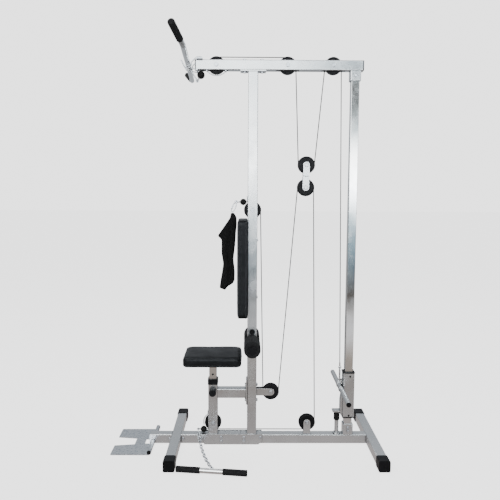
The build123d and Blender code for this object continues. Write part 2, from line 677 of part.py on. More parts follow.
def foot_plate():
    """Notched foot plate with its two hinge tubes."""
    front, rear, half = -731.0, HINGE_X, 158.0
    outline = Polyline((front + 4, -half), (rear, -half), (rear, -29), (-574, -29), (-574, 29),
                       (rear, 29), (rear, half), (front + 4, half), (front, half - 6),
                       (front, 52), (-627, 38), (-627, -38), (front, -52), (front, -half + 6),
                       close=True)
    plate = Pos(0, 0, PLATE_BOTTOM) * extrude(make_face(outline), PLATE_T)
    for side in (-1, 1):
        lo, hi = sorted((side * 29, side * (HINGE_HALF - 0.5)))
        plate += cylinder("Y", lo, hi, HINGE_X, HINGE_Z, 11)
        plate += block((HINGE_X - 8, HINGE_X), (lo, hi), (PLATE_BOTTOM, HINGE_Z - 7))
        plate -= cylinder("Y", lo - 1, hi + 1, HINGE_X, HINGE_Z, HINGE_R + RUN_GAP)
    return plate


# ---------------------------------------------------------------- lat bar and its link
LAT_LOOP = (-284.5, 1915.5)      # where the link holds the cable's loop
BAR_R = 12.5
BAR_TILT = radians(1.6)
BAR_YAW = radians(2.8)
BAR_HALF = 455.0
ARM_LEN = 155.0
ARM_BEND = radians(27)
ARM_LEAN = radians(33)


def bar_points():
    """Tip, elbow, elbow, tip of the bent bar, in the row frame."""
    x, z = LAT_BAR
    points = []
    for side in (-1, 1):
        along = Vector(-side * sin(BAR_YAW), side * cos(BAR_YAW), side * sin(BAR_TILT))
        elbow = Vector(x, 0, z) + along * BAR_HALF
        up = Vector(-sin(ARM_LEAN), 0, cos(ARM_LEAN))
        arm = along * cos(ARM_BEND) + up * sin(ARM_BEND)
        points.append((elbow, arm.normalized()))
    return points


def lat_bar():
    (near, near_arm), (far, far_arm) = bar_points()
    stops = [near + near_arm * ARM_LEN, near, far, far + far_arm * ARM_LEN]
    path = FilletPolyline(*stops, radius=60)
    bar = swept_rod(path, BAR_R) - swept_rod(path, BAR_R - 2.5)
    return bar + bar_eye()


def link_frame(start, end):
    """A plane through two X, Z points and square to the middle plane, X along their line."""
    run = flat_point(end) - flat_point(start)
    return Plane(origin=(flat_point(start) + flat_point(end)) / 2, x_dir=run,
                 z_dir=run.cross(Vector(0, 1, 0)))


LINK_HOLE = 21.0         # from the bar's centre line to the hole in its eye


def link_direction():
    run_x = LAT_LOOP[0] - LAT_BAR[0]
    run_z = LAT_LOOP[1] - LAT_BAR[1]
    length = hypot(run_x, run_z)
    return run_x / length, run_z / length


def bar_eye():
    """Flat eye welded to the middle of the bar, in the middle plane."""
    ux, uz = link_direction()
    plane = Plane(origin=flat_point(LAT_BAR), x_dir=(ux, 0, uz), z_dir=(0, 1, 0))
    tab = Pos(LINK_HOLE / 2, 0) * Rectangle(LINK_HOLE, 22) + Pos(LINK_HOLE, 0) * Circle(11)
    tab -= Pos(LINK_HOLE, 0) * Circle(5)
    tab -= Circle(BAR_R - 1)
    return extrude(plane * tab, 2.5, both=True)


def lat_link():
    """Oval screw link between the bar's eye and the cable's loop."""
    ux, uz = link_direction()
    hole = (LAT_BAR[0] + ux * LINK_HOLE, LAT_BAR[1] + uz * LINK_HOLE)
    length = hypot(LAT_LOOP[0] - hole[0], LAT_LOOP[1] - hole[1])
    return link_frame(hole, LAT_LOOP) * oval_link(length + 2 * LINK_SLACK, 14, 3.0)


def lat_bar_grips():
    """Foam grips over the bent ends, closed at the tips."""
    grips = []
    for elbow, arm in bar_points():
        tip = elbow + arm * (ARM_LEN + 4)
        root = elbow + arm * 38
        pocket = elbow + arm * ARM_LEN
        grip = straight_rod(root, tip, 15.5)
        grip = fillet(grip.edges().filter_by(GeomType.CIRCLE).sort_by_distance(tip)[0], 3)
        grips.append(grip - straight_rod(root - arm, pocket, BAR_R + 0.02))
    return grips


# ---------------------------------------------------------------- cable ends
def cable_end(ball, ball_r, loop, loop_axis, start=None):
    """Stop ball, ferrule and end loop of a cable, with its run from the pulley if start is given."""
    toward = (flat_point(loop) - flat_point(ball)).normalized()
    centre = flat_point(ball)
    sphere = Pos(*centre) * Sphere(ball_r)
    sphere -= straight_rod(centre, centre + toward * (ball_r + 2), CABLE_R + 0.05)
    sphere -= Pos(*centre) * Sphere(CABLE_R + 0.05)
    tail_end = flat_point(loop) - toward * (LOOP_R - 0.5)
    tail = straight_rod(centre, tail_end, CABLE_R) + Pos(*centre) * Sphere(CABLE_R)
    if start:
        sphere -= straight_rod(flat_point(start), centre, CABLE_R + 0.05)
        tail += straight_rod(flat_point(start), centre, CABLE_R)
    ferrule = straight_rod(centre + toward * (ball_r + 1), tail_end, FERRULE_R)
    plane = Plane(origin=flat_point(loop), x_dir=toward, z_dir=loop_axis)
    return [sphere, tail + ferrule + plane * Torus(LOOP_R, LOOP_WIRE)]


# ---------------------------------------------------------------- ab strap
AB_LOOP = (-86.0, AB_BALL[1])
AB_LINK_LOW = (-106.0, 1254.0)


def ab_link():
    """Oval link between the cable's loop and the strap, hanging a little forward."""
    run = hypot(AB_LINK_LOW[0] - AB_LOOP[0], AB_LINK_LOW[1] - AB_LOOP[1])
    return link_frame(AB_LOOP, AB_LINK_LOW) * oval_link(run + 2 * LINK_SLACK, 17, 2.5)


def ab_strap():
    """Folded fabric strap, plain outer shape."""
    outline = Polyline((-112, 1246), (-96, 1246), (-83, 1222), (-82, 1190), (-86, 1145),
                       (-91, 1071), (-99, 1004), (-92, 941), (-92, 892), (-101, 874),
                       (-130, 856), (-143, 838), (-173, 849), (-164, 903), (-153, 978),
                       (-162, 1033), (-162, 1104), (-182, 1126), (-118, 1219), close=True)
    return extrude(Plane.XZ * make_face(outline), 15, both=True)


# ---------------------------------------------------------------- row handle
ROW_LOOP = (-288.0, ROW_BALL[1])
ROW_BAR_CENTRE = Vector(-197, -351, 15.5)
ROW_BAR_YAW = radians(-7.3)
ROW_BAR_HALF = 174.0
ROW_GRIP = 118.0
CHAIN_WIRE = 2.2
CHAIN_PITCH = 26.0
CHAIN_WIDE = 9.0
FIRST_LINK_WIDE = 16.0
CHAIN_SLACK = 0.4

# Middle line of the chain: from the hook, over the edge of the base and along the floor
CHAIN_POINTS = [(-288, -1.8, 74.5), (-287, -18, 69), (-283, -35, 59), (-279, -42, 35),
                (-274, -52, 15.5), (-268, -74, 9.2), (-261, -104, 8.2), (-246, -168, 7.8),
                (-226, -236, 8.6), (-204, -298, 11), (-193.8, -326.2, 15.5)]


def chain_places():
    """The two ends of each link, evenly along the chain's middle line."""
    path = Spline(*[Vector(*point) for point in CHAIN_POINTS])
    count = 2 * round(path.length / CHAIN_PITCH / 2) + 1
    marks = [path @ (i / count) for i in range(count + 1)]
    return list(zip(marks, marks[1:]))


def row_chain():
    """Welded chain links, each turned a quarter turn from the last. The first is wider, so that
    it swings clear of the cable's loop."""
    links = []
    places = chain_places()
    for index, (start, end) in enumerate(places):
        run = end - start
        side = run.cross(Vector(0, 0, 1)).normalized()
        up = side.cross(run).normalized()
        from_end = min(index, len(places) - 1 - index)
        roll = radians(min(45, 15 * from_end) + 90 * (index % 2))
        plane = Plane(origin=(start + end) / 2, x_dir=run,
                      z_dir=side * cos(roll) + up * sin(roll))
        span = run.length + 2 * (CHAIN_WIRE + CHAIN_SLACK)
        wide = CHAIN_WIDE if index else FIRST_LINK_WIDE
        links.append(plane * oval_link(span, wide, CHAIN_WIRE))
    return links


def row_bar_axis():
    return Vector(cos(ROW_BAR_YAW), sin(ROW_BAR_YAW), 0)


def row_bar():
    """Straight row bar with its eye."""
    along = row_bar_axis()
    inner = ROW_BAR_HALF - 4
    tube = straight_rod(ROW_BAR_CENTRE - along * inner, ROW_BAR_CENTRE + along * inner, BAR_R)
    tube -= straight_rod(ROW_BAR_CENTRE - along * (inner + 1),
                         ROW_BAR_CENTRE + along * (inner + 1), BAR_R - 2.5)
    back = Vector(-along.Y, along.X, 0)
    eye = Plane(origin=ROW_BAR_CENTRE + back * 20, x_dir=back, z_dir=(0, 0, 1))
    tab = Rectangle(14, 18) + Pos(6, 0) * Circle(10) - Pos(6, 0) * Circle(6.2)
    return tube + (extrude(eye * Pos(-1, 0) * tab, 1.6, both=True)
                   - straight_rod(ROW_BAR_CENTRE - along * 30, ROW_BAR_CENTRE + along * 30,
                                  BAR_R - 2.5))


def row_bar_grips():
    along = row_bar_axis()
    grips = []
    for side in (-1, 1):
        tip = ROW_BAR_CENTRE + along * side * ROW_BAR_HALF
        root = ROW_BAR_CENTRE + along * side * (ROW_BAR_HALF - ROW_GRIP)
        pocket = ROW_BAR_CENTRE + along * side * (ROW_BAR_HALF - 4)
        grip = straight_rod(root, tip, 15.5)
        grip = fillet(grip.edges().filter_by(GeomType.CIRCLE).sort_by_distance(tip)[0], 3)
        grips.append(grip - straight_rod(root - along * side, pocket, BAR_R + 0.02))
    return grips


# ---------------------------------------------------------------- assembly
def cable_nodes():
    lat = route_runs(LAT_ROUTE)
    low = route_runs(LOW_ROUTE)
    top = (route_wrap(LAT_ROUTE, lat, 1) + cable_run(lat[1]) + route_wrap(LAT_ROUTE, lat, 2))
    ab = (route_wrap(LOW_ROUTE, low, 1) + cable_run(low[1]) + route_wrap(LOW_ROUTE, low, 2))
    row = route_wrap(LOW_ROUTE, low, 4) + cable_run(low[4])
    to_ball = (low[5][0], (ROW_BALL[0] + SMALL_BALL_R + 0.2, ROW_BALL[1]))
    return {
        "cable_top": [top, route_wrap(LAT_ROUTE, lat, 4)],
        "cable_carriage_run": [cable_run(lat[4])],
        "cable_block_runs": [cable_run(run) for run in (lat[2], lat[3], low[2], low[3], to_ball)],
        "cable_block_bends": [route_wrap(LAT_ROUTE, lat, 3), route_wrap(LOW_ROUTE, low, 3)],
        "cable_low": [ab, row],
        "lat_cable_end": cable_end(LAT_BALL, LAT_BALL_R, LAT_LOOP, (0, 1, 0), lat[0][1]),
        "ab_cable_end": cable_end(AB_BALL, SMALL_BALL_R, AB_LOOP, (0, 1, 0), low[0][1]),
        "row_cable_end": cable_end(ROW_BALL, SMALL_BALL_R, ROW_LOOP, (0, 0, 1)),
    }


def build():
    frame = {
        "base_tubes": base_tubes(),
        "joint_channel": [joint_channel()],
        "foot_tubes": foot_tubes(),
        "front_upright": [front_upright()],
        "top_beam": [top_beam()],
        "frame_flanges": frame_flanges(),
        "rail_sockets": rail_sockets(),
        "guide_rail": [guide_rail()],
        "seat_post_outer": [seat_post_outer()],
        "cross_beam": [cross_beam()],
        "low_pulley_arms": low_pulley_arms(),
        "base_pulley_fork": [upright_fork(BASE_PULLEY, BASE_TOP)],
        "back_pad": [back_pad()],
    }
    holes = bolt_holes()
    nodes = {name: [drilled(shape, holes) for shape in shapes] for name, shapes in frame.items()}
    nodes.update({
        "foot_end_caps": foot_end_caps(),
        "frame_plugs": frame_plugs(),
        "frame_bolts": [through_bolt(*bolt) for bolt in FRAME_BOLTS] + pad_screws(),
        "pulley_bolts": [through_bolt(*bolt) for bolt in PULLEY_BOLTS] + pulley_spacers(),
        "cable_guards": cable_guards(),
        "bar_hooks": [bar_hooks()],
        "seat_post_bush": [seat_post_bush()],
        "seat_post_inner": [seat_post_inner()],
        "seat_cushion": [seat_cushion()],
        "seat_pull_pin": [seat_pull_pin()],
        "roller_axle": [roller_axle()],
        "leg_roller_near": [leg_roller(-1)],
        "leg_roller_far": [leg_roller(1)],
        "floating_block": floating_block(),
        "carriage_sleeve": [carriage_sleeve()],
        "carriage_bushes": carriage_bushes(),
        "weight_peg": [weight_peg()],
        "carriage_bracket": carriage_bracket(),
        "bumper_post": [bumper_post()],
        "bumper_rubber": [bumper_rubber()],
        "foot_hinge_rod": foot_hinge_rod(),
        "foot_plate": [foot_plate()],
        "lat_bar": [lat_bar()],
        "lat_bar_grips": lat_bar_grips(),
        "lat_link": [lat_link()],
        "ab_link": [ab_link()],
        "ab_strap": [ab_strap()],
        "row_chain": row_chain(),
        "row_bar": [row_bar()],
        "row_bar_grips": row_bar_grips(),
    })
    nodes.update({name: [pulley(centre)] for name, centre in PULLEYS.items()})
    nodes.update(cable_nodes())
    return nodes


os.makedirs("parts", exist_ok=True)
for node, shapes in build().items():
    solids = [solid for shape in shapes for solid in shape.solids()]
    export_step(Compound(solids), f"parts/{node}.step")
print(len(PULLEYS), "pulleys;", len(os.listdir("parts")), "files")
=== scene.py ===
"""Looks of the lat pulldown machine: pads, rollers, grips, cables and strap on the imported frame."""
import json
from math import cos, pi, radians, sin

import bmesh
import bpy
from mathutils import Matrix, Vector, noise
from mathutils.bvhtree import BVHTree


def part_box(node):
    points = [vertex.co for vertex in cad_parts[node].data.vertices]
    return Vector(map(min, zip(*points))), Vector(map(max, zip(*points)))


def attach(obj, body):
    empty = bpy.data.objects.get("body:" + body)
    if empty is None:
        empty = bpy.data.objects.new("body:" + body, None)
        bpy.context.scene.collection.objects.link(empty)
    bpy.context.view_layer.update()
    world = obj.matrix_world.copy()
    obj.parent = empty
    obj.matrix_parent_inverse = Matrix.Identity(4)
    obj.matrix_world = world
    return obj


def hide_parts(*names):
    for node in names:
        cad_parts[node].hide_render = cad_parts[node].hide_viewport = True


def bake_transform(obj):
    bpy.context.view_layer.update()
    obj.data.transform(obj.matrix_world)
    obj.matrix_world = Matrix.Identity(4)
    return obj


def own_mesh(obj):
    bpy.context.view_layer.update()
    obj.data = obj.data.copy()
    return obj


MM = 0.001

# Pads, in metres: PAD_START is how much smaller than its box a pad is before it swells, and
# FLAT_HEIGHT is how far up its underside stays flat on its board
PAD_VOXEL = 5 * MM
PAD_START = 2 * MM
SWELL_CAP = 3.5 * MM
FLAT_HEIGHT = 2 * MM
SIDE_PULL = 1.0 * MM
TOP_WELT_R = 1.3 * MM
LOW_WELT_R = 1.1 * MM
SEAT_PROUD = 2 * MM
SEAT_CORNER, SEAT_EDGE, SEAT_RISE = 30 * MM, 15 * MM, 7 * MM
BACK_CORNER, BACK_EDGE, BACK_RISE = 22 * MM, 11 * MM, 1.5 * MM

# Foam, in mm
ROLLER_BORE = 10.2
GRIP_R = 15.5
GRIP_RING_PITCH = 9
# Root and tip of each grip, along the bars' own lines
LAT_GRIPS = (((-315.67, -488.97, 1991.1), (-340.83, -598.86, 2035.04)),
             ((-363.06, 487.6, 2017.81), (-397.54, 593.14, 2065.91)))
ROW_GRIPS = (((-252.55, -343.88, 15.5), (-369.59, -328.89, 15.5)),
             ((-141.45, -358.12, 15.5), (-24.41, -373.11, 15.5)))

# Cables and what is on their ends; places are X and Z in mm
CABLE_R = 2.5 * MM
LOOP_R = 6.5
LOOP_WIRE_R = 2.0
FERRULE_R = 4
LAT_BALL_R = 20.0
SMALL_BALL_R = 17.0
LAT_LEAVE, LAT_BALL, LAT_LOOP = (-222.18, 2015.02), (-266.0, 1945.0), (-284.5, 1915.5)
AB_LEAVE, AB_BALL, AB_LOOP = (0.0, 1302.5), (-48.5, 1302.5), (-86.0, 1302.5)
ROW_LEAVE, ROW_BALL, ROW_LOOP = (-208.0, 74.5), (-259.0, 74.5), (-288.0, 74.5)
HOOK_TOP, HOOK_LOW = (-86.0, 1303.5), (-106.0, 1252.5)
HOOK_WIRE_R = 2.4 * MM
GATE_R = 2.9 * MM

# The strap hangs folded, flat in the XZ plane
STRAP_HALF = 10 * MM
STRAP_VOXEL = 4 * MM
STRAP_OUTLINE = ((-112, 1246), (-96, 1246), (-83, 1222), (-82, 1190), (-86, 1145), (-91, 1071),
                 (-99, 1004), (-92, 941), (-92, 892), (-101, 874), (-130, 856), (-143, 838),
                 (-173, 849), (-164, 903), (-153, 978), (-162, 1033), (-162, 1104), (-182, 1126),
                 (-118, 1219))

# Studio, in metres
STAGE_REACH = 40.0
FLOOR_LIGHT = 2.2
BACKDROP_LIGHT = 2.6
WORLD_LIGHT = 0.3
WALL_Y, REAR_Y, CARD_WIDE, CARD_HIGH = -4.2, 4.2, 6, 5
GROUND_Y, GROUND_Z = 0.4, 0.001
CAMERA_PLACE = (-0.03705, -2.928, 1.347)
CAMERA_YAW, CAMERA_PITCH, CAMERA_ROLL = 0.0084, 0.1008, 0.0045
CAMERA_SENSOR, CAMERA_LENS = 36.0, 40.32


# ---------------------------------------------------------------- materials
class Look:
    """One node material on a Principled shader, with short ways to add what it needs."""

    def __init__(self, name, colour, metallic, roughness):
        self.mat = bpy.data.materials.new(name)
        self.mat.use_nodes = True
        self.tree = self.mat.node_tree
        self.shader = self.tree.nodes["Principled BSDF"]
        self.set("Base Color", (*colour, 1))
        self.set("Metallic", metallic)
        self.set("Roughness", roughness)
        self.place = self.add("ShaderNodeTexCoord").outputs["Object"]

    def set(self, socket, value):
        self.shader.inputs[socket].default_value = value

    def add(self, kind, **inputs):
        node = self.tree.nodes.new(kind)
        for socket, value in inputs.items():
            self.feed(node.inputs[socket.replace("_", " ")], value)
        return node

    def feed(self, socket, value):
        if isinstance(value, bpy.types.NodeSocket):
            self.tree.links.new(value, socket)
        else:
            socket.default_value = value

    def stretched(self, scale):
        return self.add("ShaderNodeMapping", Vector=self.place, Scale=scale).outputs[0]

    def noise(self, scale, detail=3.0, where=None):
        node = self.add("ShaderNodeTexNoise", Vector=where or self.place, Scale=scale, Detail=detail)
        return node.outputs["Fac"]

    def cells(self, scale, feature="F1"):
        node = self.add("ShaderNodeTexVoronoi", Vector=self.place, Scale=scale)
        node.feature = feature
        return node.outputs["Distance"]

    def wave(self, scale, direction, distortion=0.0):
        node = self.add("ShaderNodeTexWave", Vector=self.place, Scale=scale, Distortion=distortion)
        node.bands_direction = direction
        return node.outputs["Fac"]

    def ramp(self, value, stops):
        node = self.add("ShaderNodeValToRGB", Fac=value)
        ramp = node.color_ramp
        while len(ramp.elements) < len(stops):
            ramp.elements.new(0.5)
        for element, (position, colour) in zip(ramp.elements, stops):
            element.position = position
            element.color = colour if len(colour) == 4 else (*colour, 1)
        return node.outputs["Color"]

    def grey(self, value, low, high, start=0.3, end=0.7):
        return self.ramp(value, [(start, (low,) * 3), (end, (high,) * 3)])

    def mix(self, fac, first, second):
        node = self.add("ShaderNodeMix")
        node.data_type = "RGBA"
        for index, value in ((0, fac), (6, first), (7, second)):
            self.feed(node.inputs[index], value)
        return node.outputs[2]

    def join(self, operation, first, second):
        node = self.add("ShaderNodeMath")
        node.operation = operation
        self.feed(node.inputs[0], first)
        self.feed(node.inputs[1], second)
        return node.outputs[0]

    def colour(self, value):
        self.feed(self.shader.inputs["Base Color"], value)

    def painted_gap_shade(self, colour, reach, depth):
        """Painted shade: darken a colour where another surface is close, standing in for the shadow that
        falls in seams and gaps between parts.
        """
        # Painted shade: the ambient occlusion mask darkens the colour in seams and gaps.
        node = self.add("ShaderNodeAmbientOcclusion", Distance=reach)
        node.samples = 8
        gap_shade = self.mix(depth, colour, (0.02, 0.02, 0.022, 1))
        return self.mix(self.grey(node.outputs["AO"], 0.0, 1.0, 0.35, 0.9), gap_shade, colour)

    def roughness(self, value):
        self.feed(self.shader.inputs["Roughness"], value)

    def bump(self, height, distance, strength=1.0, rounded=0.0):
        node = self.add("ShaderNodeBump", Height=height, Distance=distance, Strength=strength)
        if rounded:
            edge = self.add("ShaderNodeBevel", Radius=rounded)
            edge.samples = 4
            self.feed(node.inputs["Normal"], edge.outputs[0])
        self.feed(self.shader.inputs["Normal"], node.outputs[0])


def silver_paint():
    look = Look("silver_paint", (0.6, 0.62, 0.64), 0.9, 0.24)
    cloud = look.noise(4.0, 4)
    flake = look.noise(900.0, 2)
    tone = look.ramp(cloud, [(0.3, (0.56, 0.57, 0.58)), (0.7, (0.66, 0.67, 0.68))])
    skin = look.mix(look.grey(flake, 0.0, 0.35), tone, (0.8, 0.81, 0.82, 1))
    # Painted shade darkens the paint in seams and gaps between parts, within 14 mm of another surface.
    look.colour(look.painted_gap_shade(skin, 0.014, 0.85))
    look.roughness(look.grey(look.noise(14.0, 5), 0.18, 0.32))
    look.bump(flake, 0.00005, 0.5, rounded=0.0016)
    return look.mat


def chrome_plate():
    look = Look("chrome_plate", (0.8, 0.81, 0.82), 1.0, 0.1)
    skin = look.grey(look.noise(7.0, 3), 0.72, 0.82)
    # Painted shade darkens the chrome in seams and gaps between parts, within 14 mm of another surface.
    look.colour(look.painted_gap_shade(skin, 0.014, 0.85))
    look.roughness(look.grey(look.noise(18.0, 5), 0.07, 0.17))
    look.bump(look.noise(30.0, 4, look.stretched((1, 1, 0.15))), 0.0003, 0.25, rounded=0.0012)
    return look.mat


def zinc_steel():
    look = Look("zinc_steel", (0.62, 0.65, 0.69), 1.0, 0.3)
    spangle = look.noise(90.0, 5)
    skin = look.ramp(spangle, [(0.3, (0.48, 0.51, 0.55)), (0.7, (0.7, 0.72, 0.75))])
    # Painted shade darkens the zinc in gaps, within 3 mm of another surface.
    look.colour(look.painted_gap_shade(skin, 0.003, 0.7))
    look.roughness(look.grey(spangle, 0.22, 0.42))
    look.bump(look.noise(400.0, 3), 0.0001, 0.5, rounded=0.0006)
    return look.mat


def moulded(name, colour, roughness, grain, depth):
    look = Look(name, colour, 0.0, roughness)
    fine = look.noise(grain, 3)
    scuff = look.noise(9.0, 6)
    light = tuple(min(1.0, c * 1.7 + 0.008) for c in colour)
    look.colour(look.mix(look.grey(scuff, 0.0, 0.6, 0.45, 0.8), (*colour, 1), (*light, 1)))
    look.roughness(look.grey(scuff, roughness - 0.08, roughness + 0.1))
    look.set("Specular IOR Level", 0.1)
    look.bump(fine, depth, 0.7, rounded=0.0008)
    return look.mat


def black_foam():
    look = Look("black_foam", (0.014, 0.014, 0.016), 0.0, 0.8)
    pores = look.cells(650.0)
    look.colour(look.ramp(pores, [(0.0, (0.007,) * 3), (0.6, (0.02, 0.02, 0.022))]))
    look.set("Specular IOR Level", 0.15)
    look.set("Sheen Weight", 0.03)
    look.bump(look.join("ADD", pores, look.noise(60.0, 3)), 0.0005, 0.6)
    return look.mat


def black_vinyl():
    look = Look("black_vinyl", (0.018, 0.021, 0.026), 0.0, 0.4)
    grain = look.cells(420.0, "SMOOTH_F1")
    crease = look.noise(35.0, 5)
    look.colour(look.ramp(crease, [(0.3, (0.007, 0.008, 0.01)), (0.75, (0.017, 0.019, 0.023))]))
    look.roughness(look.grey(look.noise(12.0, 4), 0.33, 0.5))
    look.set("Specular IOR Level", 0.15)
    look.bump(look.join("ADD", grain, look.join("MULTIPLY", crease, 1.5)), 0.0005, 0.55)
    return look.mat


def black_webbing():
    look = Look("black_webbing", (0.01, 0.01, 0.012), 0.0, 0.9)
    weft = look.wave(330.0, "Z", 0.6)
    warp = look.wave(330.0, "X", 0.6)
    weave = look.join("MULTIPLY", weft, warp)
    look.colour(look.ramp(weave, [(0.0, (0.006,) * 3), (0.9, (0.02, 0.019, 0.02))]))
    look.set("Specular IOR Level", 0.15)
    look.set("Sheen Weight", 0.03)
    look.bump(weave, 0.0006, 0.7)
    return look.mat


def coated_cable():
    look = Look("cable", (0.04, 0.04, 0.042), 0.0, 0.5)
    look.set("Specular IOR Level", 0.2)
    strands = look.noise(1400.0, 2, look.stretched((1, 1, 0.25)))
    look.colour(look.ramp(strands, [(0.35, (0.012, 0.012, 0.013)), (0.7, (0.035, 0.035, 0.038))]))
    look.bump(strands, 0.0004, 0.5)
    return look.mat


def thread():
    look = Look("seam_thread", (0.05, 0.055, 0.065), 0.0, 0.6)
    look.bump(look.wave(500.0, "DIAGONAL"), 0.0003, 0.8)
    return look.mat


MAKERS = {
    "silver_paint": silver_paint,
    "chrome_plate": chrome_plate,
    "zinc_steel": zinc_steel,
    "black_plastic": lambda: moulded("black_plastic", (0.012, 0.012, 0.014), 0.42, 300.0, 0.00025),
    "black_rubber": lambda: moulded("black_rubber", (0.014, 0.014, 0.014), 0.55, 500.0, 0.0003),
    "black_foam": black_foam,
    "black_vinyl": black_vinyl,
    "black_webbing": black_webbing,
    "cable": coated_cable,
}


# ---------------------------------------------------------------- mesh helpers
def from_bmesh(name, shape, slot, material=None):
    """A new smooth-shaded object from a bmesh, in its slot's look unless a material is given."""
    bmesh.ops.recalc_face_normals(shape, faces=shape.faces)
    mesh = bpy.data.meshes.new(name)
    shape.to_mesh(mesh)
    shape.free()
    mesh.shade_smooth()
    mesh.materials.append(material or LOOKS[slot])
    piece = bpy.data.objects.new(name, mesh)
    bpy.context.scene.collection.objects.link(piece)
    return piece


def ring_frame(direction):
    """Two unit vectors square to a direction and to each other."""
    helper = Vector((0, 1, 0)) if abs(direction.y) < 0.8 else Vector((1, 0, 0))
    across = direction.cross(helper).normalized()
    return across, direction.cross(across).normalized()


def add_loft(shape, centres, radii, segments, frames=None, closed=False):
    """Add a skin of round rings, one per centre, capped unless it is closed on itself."""
    rings = []
    count = len(centres)
    for index, (centre, radius) in enumerate(zip(centres, radii)):
        ahead = centres[(index + 1) % count] if closed else centres[min(index + 1, count - 1)]
        behind = centres[index - 1] if closed else centres[max(index - 1, 0)]
        across, up = frames or ring_frame((ahead - behind).normalized())
        rings.append([shape.verts.new(centre + across * (radius * cos(a)) + up * (radius * sin(a)))
                      for a in (2 * pi * k / segments for k in range(segments))])
    pairs = list(zip(rings, rings[1:]))
    if closed:
        pairs.append((rings[-1], rings[0]))
    for first, second in pairs:
        for k in range(segments):
            after = (k + 1) % segments
            shape.faces.new((first[k], first[after], second[after], second[k]))
    if not closed:
        shape.faces.new(list(reversed(rings[0])))
        shape.faces.new(rings[-1])


def turned(name, start, direction, profile, slot, segments=48):
    """A solid turned about an axis: profile is (distance along the axis, radius) in mm."""
    shape = bmesh.new()
    direction = direction.normalized()
    centres = [start + direction * (along * MM) for along, _ in profile]
    radii = [radius * MM for _, radius in profile]
    add_loft(shape, centres, radii, segments, frames=ring_frame(direction))
    return from_bmesh(name, shape, slot)


def tube(name, points, radius, slot, segments=16):
    """A round tube along points that are already close together, in metres."""
    shape = bmesh.new()
    add_loft(shape, points, [radius] * len(points), segments)
    return from_bmesh(name, shape, slot)


def straight_tube(name, start, end, radius, slot, steps=48):
    """A round tube between two points, cut into steps so that a joint can bend or squash it."""
    points = [start.lerp(end, k / steps) for k in range(steps + 1)]
    return tube(name, points, radius, slot)


def at(x, z, y=0.0):
    """A point from X, Z and Y in mm."""
    return Vector((x, y, z)) * MM


# ---------------------------------------------------------------- stuffed pads
def corner_centres(low, high, corner):
    """The centre of each rounded corner seen from above, and the quarter turn it starts at."""
    return ((high.x - corner, high.y - corner, 0), (low.x + corner, high.y - corner, 1),
            (low.x + corner, low.y + corner, 2), (high.x - corner, low.y + corner, 3))


def rounded_block(low, high, corner, edge):
    """A block with round corners in its outline and rolled-over rims, thin along Z."""
    shape = bmesh.new()
    outline = []
    for cx, cy, turn in corner_centres(low, high, corner):
        for k in range(9):
            angle = (turn + k / 8) * pi / 2
            outline.append((cx, cy, cos(angle), sin(angle)))
    rings = []
    for k in range(13):
        angle = -pi / 2 + pi * k / 12
        inset = edge * (1 - cos(angle))
        z = (low.z + edge if angle < 0 else high.z - edge) + edge * sin(angle)
        rings.append([shape.verts.new((cx + (corner - inset) * ux, cy + (corner - inset) * uy, z))
                      for cx, cy, ux, uy in outline])
    for first, second in zip(rings, rings[1:]):
        for k in range(len(outline)):
            after = (k + 1) % len(outline)
            shape.faces.new((first[k], first[after], second[after], second[k]))
    shape.faces.new(list(reversed(rings[0])))
    shape.faces.new(rings[-1])
    return shape


def apply_modifiers(piece):
    """Keep what the piece's modifiers make of its mesh, and drop the modifiers."""
    graph = bpy.context.evaluated_depsgraph_get()
    mesh = bpy.data.meshes.new_from_object(piece.evaluated_get(graph))
    piece.modifiers.clear()
    piece.data = mesh


def remesh(piece, voxel):
    modifier = piece.modifiers.new("remesh", "REMESH")
    modifier.mode = "VOXEL"
    modifier.voxel_size = voxel
    apply_modifiers(piece)


def swell(piece, cap, flat_z):
    """Fill the pad with pressure, cap how far it swells, and keep its underside flat on its board."""
    rest = [v.co.copy() for v in piece.data.vertices]
    cloth = piece.modifiers.new("cloth", "CLOTH")
    settings = cloth.settings
    settings.use_pressure = True
    settings.uniform_pressure_force = 4
    settings.effector_weights.gravity = 0
    settings.tension_stiffness = 15
    settings.bending_stiffness = 8
    scene = bpy.context.scene
    cloth.point_cache.frame_start, cloth.point_cache.frame_end = 1, 20
    for frame_number in range(1, 21):
        scene.frame_set(frame_number)
    apply_modifiers(piece)
    scene.frame_set(1)
    for vertex, before in zip(piece.data.vertices, rest):
        move = vertex.co - before
        if move.length > cap:
            move = move.normalized() * cap
        lift = min(1.0, max(0.0, (before.z - flat_z) / (8 * MM)))
        vertex.co = before + move * lift


def smooth_and_subdivide(piece, repeat):
    smooth = piece.modifiers.new("smooth", "SMOOTH")
    smooth.iterations = repeat
    smooth.factor = 0.5
    piece.modifiers.new("subdivide", "SUBSURF").levels = 1
    apply_modifiers(piece)
    piece.data.shade_smooth()


def crown(piece, low, high, height, sag, seed):
    """Raise the middle of the top, pull the sides in between corners, and wrinkle the cover a little."""
    centre = (low + high) / 2
    half = (high - low) / 2
    for vertex in piece.data.vertices:
        co = vertex.co
        u = max(-1.0, min(1.0, (co.x - centre.x) / half.x))
        v = max(-1.0, min(1.0, (co.y - centre.y) / half.y))
        up = max(0.0, (co.z - low.z) / (high.z - low.z))
        dome = (1 - u * u) * (1 - v * v)
        co.z += height * dome * up ** 3
        co.x -= sag * u ** 5 * (1 - v * v)
        co.y -= sag * v ** 5 * (1 - u * u)
        ripple = noise.noise(Vector((co.x * 26 + seed, co.y * 26, co.z * 40)))
        rim = up * (1 - dome) ** 2
        co += Vector((u, v, 0.4)) * (ripple * 1.1 * MM * rim)


